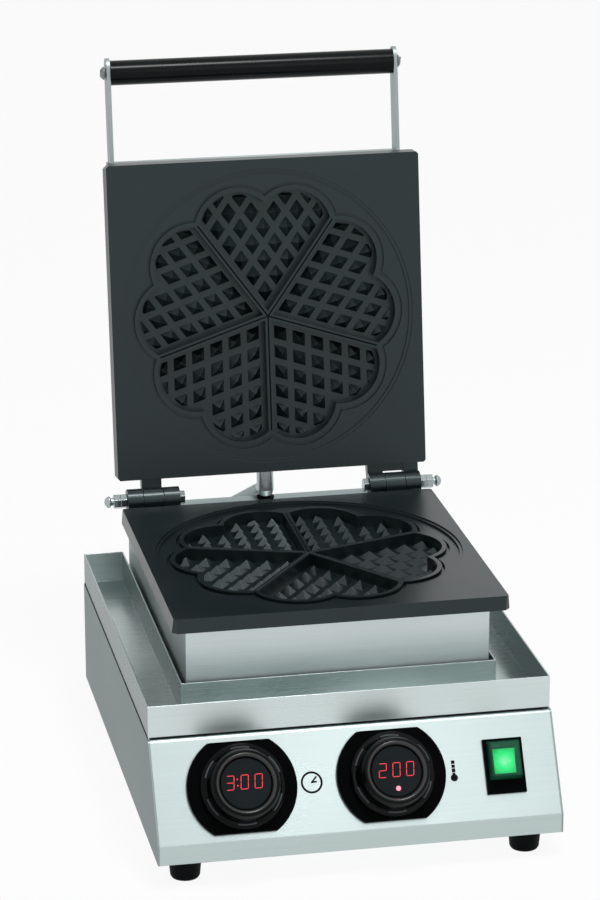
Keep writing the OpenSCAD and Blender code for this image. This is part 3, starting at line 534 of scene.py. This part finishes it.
def ribbed_tube(name, pts, r, rib, every, sides=18):
    """Tube along pts whose radius drops by rib between the turns of its wound strip."""
    verts, faces = [], []
    side = Vector((1, 0, 0))
    for i, q in enumerate(pts):
        t = (pts[min(i + 1, len(pts) - 1)] - pts[max(i - 1, 0)]).normalized()
        side = (side - t * side.dot(t)).normalized()
        up = t.cross(side)
        rr = r - rib * (0.5 - 0.5 * math.cos(2 * math.pi * i / every))
        for k in range(sides):
            a = 2 * math.pi * k / sides
            verts.append(tuple(q + (side * math.cos(a) + up * math.sin(a)) * rr))
    for i in range(len(pts) - 1):
        for k in range(sides):
            m = (k + 1) % sides
            faces.append((i * sides + k, i * sides + m, (i + 1) * sides + m, (i + 1) * sides + k))
    faces.append(tuple(range(sides - 1, -1, -1)))
    faces.append(tuple((len(pts) - 1) * sides + k for k in range(sides)))
    me = bpy.data.meshes.new(name)
    me.from_pydata(verts, [], faces)
    me.materials.append(MATS["hose"])
    for f in me.polygons:
        f.use_smooth = len(f.vertices) == 4
    ob = bpy.data.objects.new(name, me)
    bpy.context.scene.collection.objects.link(ob)
    return ob


path = hose_path()
hose = ribbed_tube("metal_hose", path, HOSE_R, 0.45e-3, 4)
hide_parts("conduit_hose")
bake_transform(hose)

# raised grip marks on the knobs' flanges: six short arcs, each 28 degrees long, paler than the knob
# for a painted highlight
for body, x in KNOBS:
    v, f = join([ring_prism(27.6 * MM, 28.7 * MM, 0, 0.5 * MM, 10, 60 * k + 76, 60 * k + 104)
                 for k in range(6)])
    mesh_piece(body + "_marks", v, f, MATS["marks"], body,
               slope_matrix(x, MID_S, 9.55))

# slots in the handle bolts' domes: thin black strips laid on the domes, painted shade for the
# recess of each slot
oy, oz = lid_turn(-335.7, 39.8)  # the grip's axis
for side, name in ((-1, "left"), (1, "right")):
    v, f = prism(mm([(-3.6, -0.5), (3.6, -0.5), (3.6, 0.5), (-3.6, 0.5)]), 0, 0.25 * MM)
    m = Matrix.Translation((side * 120.95e-3, (AXIS_Y + oy) * MM + SHIFT_Y, (AXIS_Z + oz) * MM))
    m = m @ Matrix.Rotation(math.radians(20), 4, "X") @ Matrix.Rotation(side * math.pi / 2, 4, "Y")
    mesh_piece("bolt_slot_painted_shade_" + name, v, f, MATS["ink"], "lid", m)


def weld_spot(y, r=0.8, height=0.45, n=10):
    """A low dome of weld, its middle at y."""
    ring = [(r * math.cos(a), height * math.sin(a))
            for a in (math.pi / 2 * j / 3 for j in range(3))]
    verts = [(q * math.cos(2 * math.pi * i / n), q * math.sin(2 * math.pi * i / n), h)
             for q, h in ring for i in range(n)] + [(0, 0, height)]
    faces = [(j * n + i, j * n + (i + 1) % n, (j + 1) * n + (i + 1) % n, (j + 1) * n + i)
             for j in range(2) for i in range(n)]
    faces += [(2 * n + i, 2 * n + (i + 1) % n, 3 * n) for i in range(n)]
    faces.append(tuple(range(n - 1, -1, -1)))
    return [(p[0] * MM, p[1] * MM + y * MM, p[2] * MM) for p in verts], faces


# six spot welds down each of the tray's rear inner corners
for side, name in ((-1, "left"), (1, "right")):
    v, f = join([weld_spot(k * 3.4 - 8.5) for k in range(6)])
    m = Matrix.Translation((side * 146.4e-3, (REAR_Y - 1.0) * MM + SHIFT_Y, 0.1145))
    m = m @ Matrix.Rotation(math.pi / 2, 4, "X")
    mesh_piece("tray_welds_" + name, v, f, MATS["tray"], "drip_tray", m, smooth=True)


def revolve(profile, n=96):
    verts = []
    for i in range(n):
        a = 2 * math.pi * i / n
        verts += [(r * math.cos(a) * MM, r * math.sin(a) * MM, z * MM) for r, z in profile]
    k = len(profile)
    faces = [(i * k + j, i * k + (j + 1) % k, (i + 1) % n * k + (j + 1) % k, (i + 1) % n * k + j)
             for i in range(n) for j in range(k)]
    return verts, faces


# polished fillet round each display window, on the knob's inner bevel
FILLET = [(18.9, 21.95), (19.55, 22.85), (20.25, 23.75), (21.0, 24.35), (21.9, 24.6),
          (21.9, 24.72), (20.9, 24.5), (20.15, 23.9), (19.4, 22.98), (18.8, 22.1)]
for body, x in KNOBS:
    v, f = revolve(FILLET)
    mesh_piece(body + "_rim", v, f, MATS["polish"], body,
               slope_matrix(x, MID_S, 0), smooth=True)

# a dark strip just outside the foot of the tray's walls is painted shadow: it stands for the shade
# in the gap under the tray's edge, above the deck
lo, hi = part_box("drip_tray")
z0, z1 = lo[2] + 0.0001, lo[2] + 0.0009
near, far, inset = 0.00002, 0.0003, 0.001
gap = []
for x0, x1, y0, y1 in ((lo[0] + inset, hi[0] - inset, lo[1] - far, lo[1] - near),
                       (lo[0] - far, lo[0] - near, lo[1] + inset, hi[1] - inset),
                       (hi[0] + near, hi[0] + far, lo[1] + inset, hi[1] - inset)):
    gap.append(prism([(x0, y0), (x1, y0), (x1, y1), (x0, y1)], z0, z1))
v, f = join(gap)
mesh_piece("tray_painted_shadow_line", v, f, MATS["gap"], "drip_tray")


# ---------------------------------------------------------------- floor, backdrop, lights, camera
def seen(nt):
    """One for the rays that show the background: from the camera, off metal, through glass."""
    ray = add(nt, "ShaderNodeLightPath")
    out = ray.outputs["Is Camera Ray"]
    for kind in ("Is Glossy Ray", "Is Transmission Ray"):
        most = add(nt, "ShaderNodeMath", operation="MAXIMUM")
        nt.links.new(out, most.inputs[0])
        nt.links.new(ray.outputs[kind], most.inputs[1])
        out = most.outputs["Value"]
    return out


def stage_mat():
    """Pale floor, mostly clear to those rays, so that the white shows and a shadow stays."""
    m, nt, b = new_mat("floor_white")
    b.inputs["Base Color"].default_value = (0.90, 0.91, 0.91, 1)
    b.inputs["Roughness"].default_value = 0.9
    b.inputs["Specular IOR Level"].default_value = 0.1
    clear = add(nt, "ShaderNodeBsdfTransparent")
    share = add(nt, "ShaderNodeMath", operation="MULTIPLY", in_1=0.92)
    mix = add(nt, "ShaderNodeMixShader")
    nt.links.new(seen(nt), share.inputs[0])
    nt.links.new(share.outputs["Value"], mix.inputs["Fac"])
    nt.links.new(b.outputs["BSDF"], mix.inputs[1])
    nt.links.new(clear.outputs["BSDF"], mix.inputs[2])
    nt.links.new(mix.outputs["Shader"], nt.nodes["Material Output"].inputs["Surface"])
    return m


HALF = 6  # half the floor's width, m
me = bpy.data.meshes.new("floor")
me.from_pydata([(-HALF, -HALF, 0), (HALF, -HALF, 0), (HALF, HALF, 0), (-HALF, HALF, 0)], [],
               [(0, 1, 2, 3)])
me.materials.append(stage_mat())
floor = bpy.data.objects.new("floor", me)
bpy.context.scene.collection.objects.link(floor)

# a soft grey dome lights matt surfaces; the rays that show the background see plain white
world = bpy.data.worlds.new("studio")
bpy.context.scene.world = world
world.use_nodes = True
wt = world.node_tree
bg = wt.nodes["Background"]
sky = add(wt, "ShaderNodeTexCoord")
axes = add(wt, "ShaderNodeSeparateXYZ")
wt.links.new(sky.outputs["Generated"], axes.inputs["Vector"])
levels = [(0.0, 0.20), (0.5, 0.30), (1.0, 0.50)]  # height of the direction, brightness
dome = ramp(wt, axes.outputs["Z"], [(z, (v, v, v, 1)) for z, v in levels])
wt.links.new(dome, bg.inputs["Color"])
bg.inputs["Strength"].default_value = 1.0
white = add(wt, "ShaderNodeBackground")
white.inputs["Color"].default_value = (1, 1, 1, 1)
white.inputs["Strength"].default_value = 1.0
mixer = add(wt, "ShaderNodeMixShader")
wt.links.new(seen(wt), mixer.inputs["Fac"])
wt.links.new(bg.outputs["Background"], mixer.inputs[1])
wt.links.new(white.outputs["Background"], mixer.inputs[2])
wt.links.new(mixer.outputs["Shader"], wt.nodes["World Output"].inputs["Surface"])


def area(name, loc, target, size, power):
    d = bpy.data.lights.new(name, "AREA")
    d.shape = "RECTANGLE"
    d.size, d.size_y = size
    d.energy = power
    o = bpy.data.objects.new(name, d)
    o.location = loc
    o.rotation_euler = (Vector(target) - Vector(loc)).to_track_quat("-Z", "Y").to_euler()
    bpy.context.scene.collection.objects.link(o)


area("key", (0.15, -0.7, 2.4), (0.0, 0.1, 0.3), (0.6, 0.45), 30)
area("front", (0.42, -1.75, 1.32), (0, -0.18, 0.07), (0.14, 0.8), 1.1)

cam_data = bpy.data.cameras.new("camera")
cam = bpy.data.objects.new("camera", cam_data)
bpy.context.scene.collection.objects.link(cam)
cam.location = (-0.49731, -2.47021 + SHIFT_Y, 1.0877)
yaw, pitch, roll = -0.196, -0.317, -0.002  # radians
fwd = Vector((-math.sin(yaw) * math.cos(pitch), math.cos(yaw) * math.cos(pitch), math.sin(pitch)))
quat = fwd.to_track_quat("-Z", "Y")
cam.rotation_mode = "QUATERNION"
cam.rotation_quaternion = quat @ Matrix.Rotation(roll, 3, "Z").to_quaternion()
cam_data.sensor_width = 36
focal_px, picture_px = 3513.2, 900
cam_data.lens = focal_px / picture_px * 36
cam_data.clip_start = 0.1
cam_data.clip_end = 50
bpy.context.scene.camera = cam
bpy.context.scene.view_settings.view_transform = "Standard"
